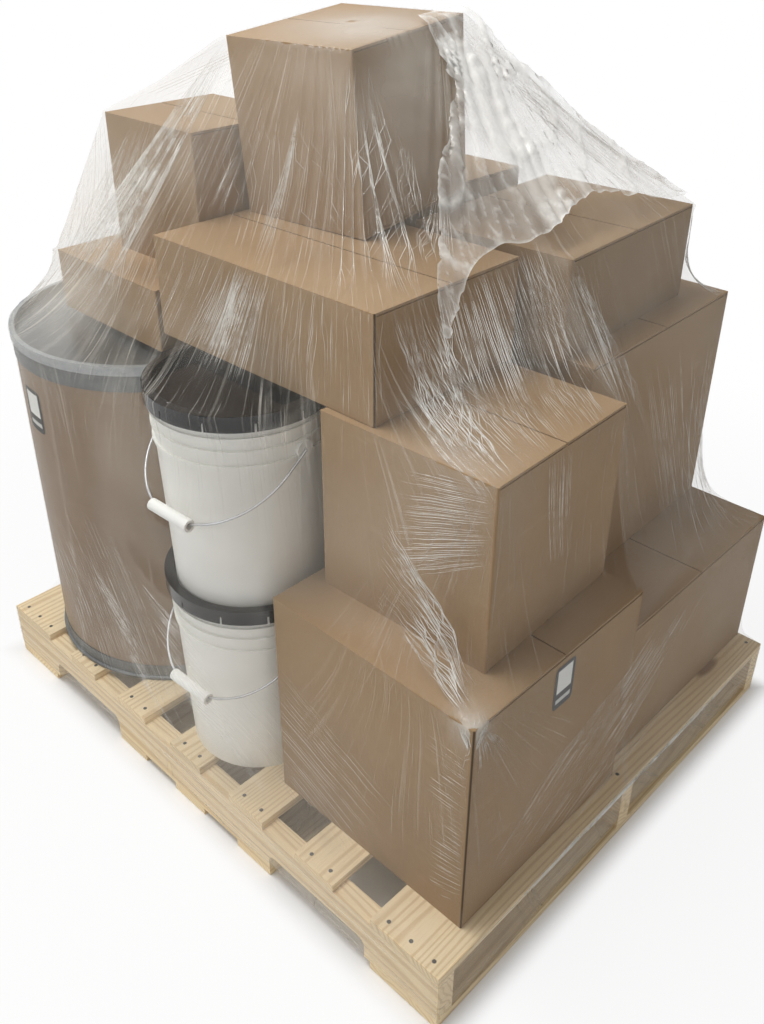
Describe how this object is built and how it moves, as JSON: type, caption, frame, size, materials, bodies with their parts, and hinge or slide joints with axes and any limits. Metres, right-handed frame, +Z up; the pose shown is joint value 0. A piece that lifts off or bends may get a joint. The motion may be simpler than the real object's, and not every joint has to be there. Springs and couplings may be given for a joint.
{
  "type": "shrink wrapped pallet load",
  "caption": "Mixed load of plain brown cartons, a fibre drum and stacked plastic pails on a notched stringer pallet, wrapped in clear stretch film",
  "frame": {"origin": "on the floor, in the middle of the underside of the pallet's middle bottom board", "axes": "+X along the pallet's stringers towards the end with the tall cartons, -Y towards the side with the drum and pails, +Z up"},
  "size_m": [1.2426, 1.0238, 1.3188],
  "materials": {
    "kraft_board": "plain brown corrugated board, matt, with a cut seam",
    "pine": "new sawn softwood, light yellow with knots",
    "nail_steel": "bright wire nail heads, slightly dulled",
    "drum_board": "wound brown paper board with a light sheen",
    "drum_steel": "grey galvanised and painted steel bands and lid",
    "pail_white": "white moulded plastic, satin",
    "lid_black": "black moulded plastic, glossy",
    "bail_wire": "drawn steel wire",
    "film_clear": "clear plastic stretch film, glossy, pulled into fine wrinkles"
  },
  "bodies": {
    "root": {"bottom_board_1": "pine", "bottom_board_2": "pine", "bottom_board_3": "pine", "bottom_board_4": "pine", "bottom_board_5": "pine", "carton_cube_left": "kraft_board", "carton_flat_left": "kraft_board", "carton_flat_right": "kraft_board", "carton_long_flat": "kraft_board", "carton_near_base": "kraft_board", "carton_near_middle": "kraft_board", "carton_rear_base": "kraft_board", "carton_rear_middle": "kraft_board", "carton_rear_top": "kraft_board", "carton_tall_right": "kraft_board", "carton_top": "kraft_board", "carton_wide_base": "kraft_board", "deck_nails_bottom": "nail_steel", "deck_nails_top": "nail_steel", "drum_body": "drum_board", "drum_bottom_chime": "drum_steel", "drum_lid": "drum_steel", "drum_locking_ring": "drum_steel", "drum_ring_lever": "drum_steel", "drum_top_chime": "drum_steel", "lower_pail_bail": "bail_wire", "lower_pail_body": "pail_white", "lower_pail_grip": "pail_white", "lower_pail_lid": "lid_black", "stretch_wrap": "film_clear", "stringer_front": "pine", "stringer_middle": "pine", "stringer_rear": "pine", "top_board_1": "pine", "top_board_2": "pine", "top_board_3": "pine", "top_board_4": "pine", "top_board_5": "pine", "top_board_6": "pine", "top_board_7": "pine", "top_sheet": "film_clear", "upper_pail_bail": "bail_wire", "upper_pail_body": "pail_white", "upper_pail_grip": "pail_white", "upper_pail_lid": "lid_black"}
  },
  "joints": []
}
